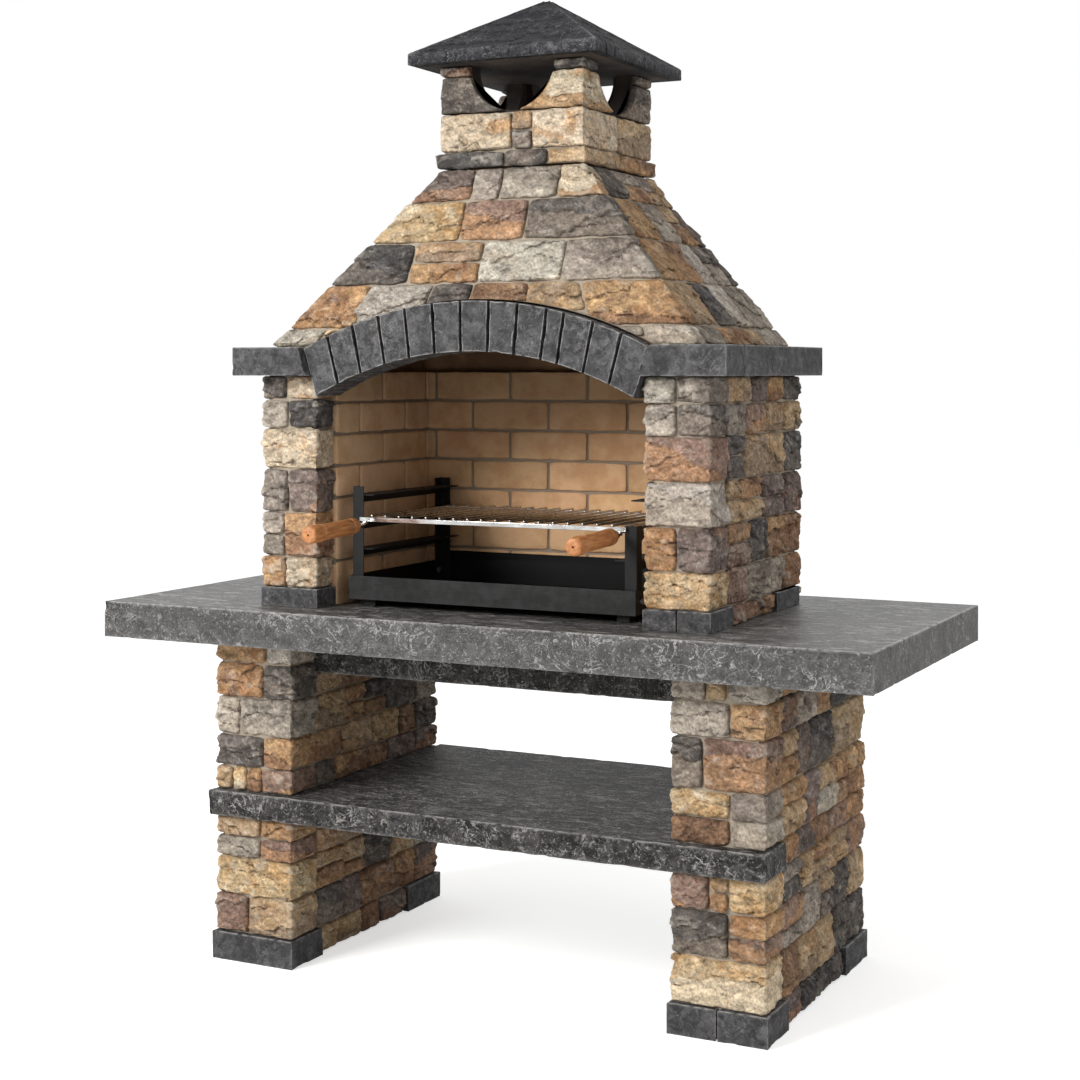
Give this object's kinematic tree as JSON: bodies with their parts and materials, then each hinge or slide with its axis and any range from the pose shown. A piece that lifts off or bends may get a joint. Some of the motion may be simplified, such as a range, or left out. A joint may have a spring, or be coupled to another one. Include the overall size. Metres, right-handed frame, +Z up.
{
  "type": "masonry barbecue",
  "caption": "Stone-faced charcoal barbecue with a worktop on legs and a shelf, a brick-lined arched firebox, a hood with a capped chimney, a pull-out fire tray and a sliding cooking grid.",
  "frame": {"origin": "on the ground, under the middle of the whole object", "axes": "+X to the right and +Y to the back as seen from the cook's side, +Z up"},
  "size_m": [1.84, 0.8946, 2.218],
  "materials": {
    "basalt": "leathered",
    "slate": "rough",
    "facing_stone": "rough",
    "block_core": "rough",
    "firebrick": "matte",
    "black_steel": "satin",
    "bright_bar": "polished",
    "grid_steel": "satin",
    "beech": "satin"
  },
  "bodies": {
    "masonry": {"arch_voussoirs": "basalt", "back_wall": "block_core", "back_wall_firebricks": "firebrick", "bearer_slab": "basalt", "chimney_cap": "slate", "chimney_collar": "facing_stone", "chimney_flue": "block_core", "chimney_stones": "facing_stone", "firebox_plinths": "basalt", "hood_core": "block_core", "hood_front_stones": "facing_stone", "hood_left_stones": "facing_stone", "hood_rear_stones": "facing_stone", "hood_right_stones": "facing_stone", "left_firebox_stones": "facing_stone", "left_leg_front_stones": "facing_stone", "left_leg_inner_stones": "facing_stone", "left_leg_lower_core": "block_core", "left_leg_outer_stones": "facing_stone", "left_leg_plinth": "basalt", "left_leg_rear_stones": "facing_stone", "left_leg_upper_core": "block_core", "left_mantel_block": "basalt", "left_mantel_slab": "basalt", "left_pillar_stones": "facing_stone", "left_side_wall": "block_core", "left_wall_firebricks": "firebrick", "lower_shelf": "basalt", "rear_firebox_stones": "facing_stone", "rear_mantel_slab": "basalt", "right_firebox_stones": "facing_stone", "right_leg_front_stones": "facing_stone", "right_leg_inner_stones": "facing_stone", "right_leg_lower_core": "block_core", "right_leg_outer_stones": "facing_stone", "right_leg_plinth": "basalt", "right_leg_rear_stones": "facing_stone", "right_leg_upper_core": "block_core", "right_mantel_block": "basalt", "right_mantel_slab": "basalt", "right_pillar_stones": "facing_stone", "right_side_wall": "block_core", "right_wall_firebricks": "firebrick", "worktop_slab": "basalt"},
    "fire_insert": {"fire_tray": "black_steel", "tray_feet": "black_steel", "left_frame_uprights": "black_steel", "right_frame_uprights": "black_steel", "left_frame_rails": "black_steel", "right_frame_rails": "black_steel", "frame_bolts": "black_steel"},
    "cooking_grid": {"grid_front_bar": "bright_bar", "grid_rear_bar": "bright_bar", "grid_side_bars": "grid_steel", "grid_rods": "grid_steel", "handle_shanks": "grid_steel", "handle_ferrules": "grid_steel", "left_handle_grip": "beech", "right_handle_grip": "beech"}
  },
  "joints": [
    {"name": "insert_slide", "type": "slide", "parent": "masonry", "child": "fire_insert", "axis": [0, -1, 0], "range_m": [0, 0.3]},
    {"name": "grid_slide", "type": "slide", "parent": "fire_insert", "child": "cooking_grid", "axis": [0, -1, 0], "range_m": [0, 0.28]}
  ]
}
